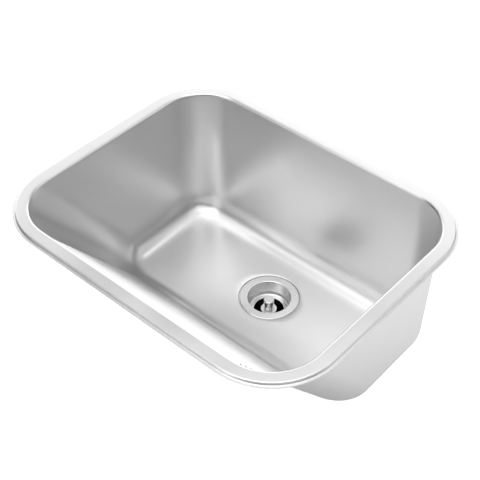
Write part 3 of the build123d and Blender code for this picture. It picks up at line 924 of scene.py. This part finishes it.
def rubber_finish(name, colour):
    """Moulded rubber: black, matt, with a faint bloom and a fine mould texture."""
    material, graph, place = new_finish(name)
    grain = noise(graph, place, scale=1800.0)
    bloom = noise(graph, place, scale=120.0, detail=3.0)
    tint = graph.blend(graph.spread(bloom, 0.4, 0.75), shade(colour, 1.0), shade(colour, 1.9))
    settle(graph, tint, graph.spread(bloom, 0.3, 0.7, 0.5, 0.64), graph.bump(grain, 0.25))
    return material


def fibre_finish(name, colour):
    """Pressed fibre: matted threads of lighter and darker brown."""
    material, graph, place = new_finish(name)
    threads = []
    for turn in (0.4, 1.9):
        words = {"Vector": place, "Rotation": (0.0, 0.0, turn), "Scale": (0.12, 1.0, 1.0)}
        squeezed = graph.add("ShaderNodeMapping", words).outputs[0]
        threads.append(noise(graph, squeezed, scale=2200.0))
    matted = graph.math("MAXIMUM", threads[0], threads[1])
    tint = graph.blend(graph.spread(matted, 0.45, 0.7), shade(colour, 0.7), shade(colour, 1.3))
    settle(graph, tint, graph.spread(matted, 0.4, 0.7, 0.72, 0.85), graph.bump(matted, 0.4))
    return material


def damping_finish(name, colour):
    """Rolled damping sheet: a pressed diamond pattern, mineral grit and a dull sheen."""
    material, graph, place = new_finish(name)
    x, y, _ = graph.parts(place)
    ridges = []
    for mix in ("ADD", "SUBTRACT"):
        run = graph.math("MULTIPLY", graph.math(mix, x, y), 2 * pi / (DIAMOND * MM))
        ridges.append(graph.spread(graph.math("COSINE", run), 0.7, 1.0))
    diamonds = graph.math("MAXIMUM", ridges[0], ridges[1])
    grit = noise(graph, place, scale=900.0, detail=3.0, roughness=0.7)
    tint = graph.blend(graph.spread(grit, 0.5, 0.75), shade(colour, 1.0), shade(colour, 1.6))
    tint = graph.blend(diamonds, tint, shade(colour, 1.25))
    bump = graph.bump(graph.math("ADD", diamonds, graph.math("MULTIPLY", grit, 0.25)), 0.6, 0.0004)
    settle(graph, tint, graph.spread(grit, 0.3, 0.7, 0.5, 0.66), bump)
    return material


FINISHES = {
    "pressed_steel": pressed_finish("pressed_steel", STEEL_COLOUR, roughness=0.33),
    "drain_steel": turned_finish("drain_steel", STEEL_COLOUR, roughness=0.3, groove=0.015),
    "turned_steel": turned_finish("turned_steel", (0.78, 0.78, 0.775), roughness=0.3, groove=0.04),
    "cast_nut": cast_finish("cast_nut", (0.62, 0.63, 0.64)),
    # Cloudy stains, and a painted shade that makes the inner faces near black.
    "outlet_brass": turned_finish(
        "outlet_brass", (0.72, 0.58, 0.32), roughness=0.3, groove=0.12,
        stain_and_shade=0.6, stain_and_shade_colour=(0.38, 0.27, 0.14),
    ),
    "black_rubber": rubber_finish("black_rubber", (0.03, 0.03, 0.03)),
    "fibre_washer": fibre_finish("fibre_washer", (0.42, 0.2, 0.13)),
    "damping_sheet": damping_finish("damping_sheet", (0.1, 0.1, 0.11)),
}


def make_room():
    """A white background and the room's soft lights."""
    world = bpy.data.worlds.new("studio")
    bpy.context.scene.world = world
    world.use_nodes = True
    graph = Graph(world.node_tree)
    ray = graph.add("ShaderNodeLightPath").outputs
    direction = graph.add("ShaderNodeTexCoord").outputs["Generated"]
    total = ROOM_LEVEL
    for around, height, half_width, strength in ROOM_LIGHTS:
        turn = radians(around)
        rise = radians(height)
        aim = (cos(turn) * cos(rise), sin(turn) * cos(rise), sin(rise))
        glow = graph.spread(graph.dot(direction, aim), cos(radians(half_width)), 1.0, 0.0, strength)
        total = graph.math("ADD", total, glow)
    plain = graph.math("MAXIMUM", ray["Is Camera Ray"], ray["Is Transmission Ray"])
    seen = graph.add("ShaderNodeMix", {0: plain, 2: total, 3: 1.0}).outputs[0]
    light = graph.add("ShaderNodeBackground", {0: WHITE, 1: seen})
    graph.add("ShaderNodeOutputWorld", {0: light.outputs[0]})


def make_floor():
    """A pale floor under the sink that takes its shadow and shows plain white elsewhere."""
    turns = [(-1, -1), (1, -1), (1, 1), (-1, 1)]
    mesh = bpy.data.meshes.new("floor")
    mesh.from_pydata([(x * FLOOR_REACH, y * FLOOR_REACH, cad_low.z) for x, y in turns], [], [(0, 1, 2, 3)])
    floor = new_object("floor", mesh)
    material = bpy.data.materials.new("floor")
    material.use_nodes = True
    graph = Graph(material.node_tree)
    ray = graph.add("ShaderNodeLightPath").outputs
    lit = graph.add("ShaderNodeBsdfDiffuse", {0: (FLOOR_COLOUR, FLOOR_COLOUR, FLOOR_COLOUR, 1)}).outputs[0]
    x, y, _ = graph.parts(graph.add("ShaderNodeTexCoord").outputs["Object"])
    # Painted shadow: the white that mirror rays see is taken away near the middle, under the sink, and comes
    # back between the two distances.
    clear = graph.spread(graph.length(x, y), PAINTED_SHADOW_INNER, PAINTED_SHADOW_OUTER)
    seen = graph.math("MAXIMUM", ray["Is Camera Ray"], ray["Is Transmission Ray"])
    mirrored = graph.math("MULTIPLY", graph.math("MULTIPLY", ray["Is Glossy Ray"], clear), MIRRORED_LIFT)
    lifted = graph.math("MAXIMUM", graph.math("MULTIPLY", seen, FLOOR_LIFT), mirrored)
    glow = graph.add("ShaderNodeEmission", {0: WHITE, 1: lifted}).outputs[0]
    both = graph.add("ShaderNodeAddShader", {0: lit, 1: glow}).outputs[0]
    graph.add("ShaderNodeOutputMaterial", {0: both})
    mesh.materials.append(material)


place_camera()
make_basin()
make_strainer_cup()
make_locknut()
make_outlet_body()
make_stem()
make_knob()
make_hex_nut()
for subpart in frame["record"]["subparts"]:
    node = frame["nodes"][subpart["node"]]
    node.data.materials.clear()
    node.data.materials.append(FINISHES[subpart["material_slot"]])
make_room()
make_floor()
bpy.context.scene.view_settings.view_transform = "Standard"
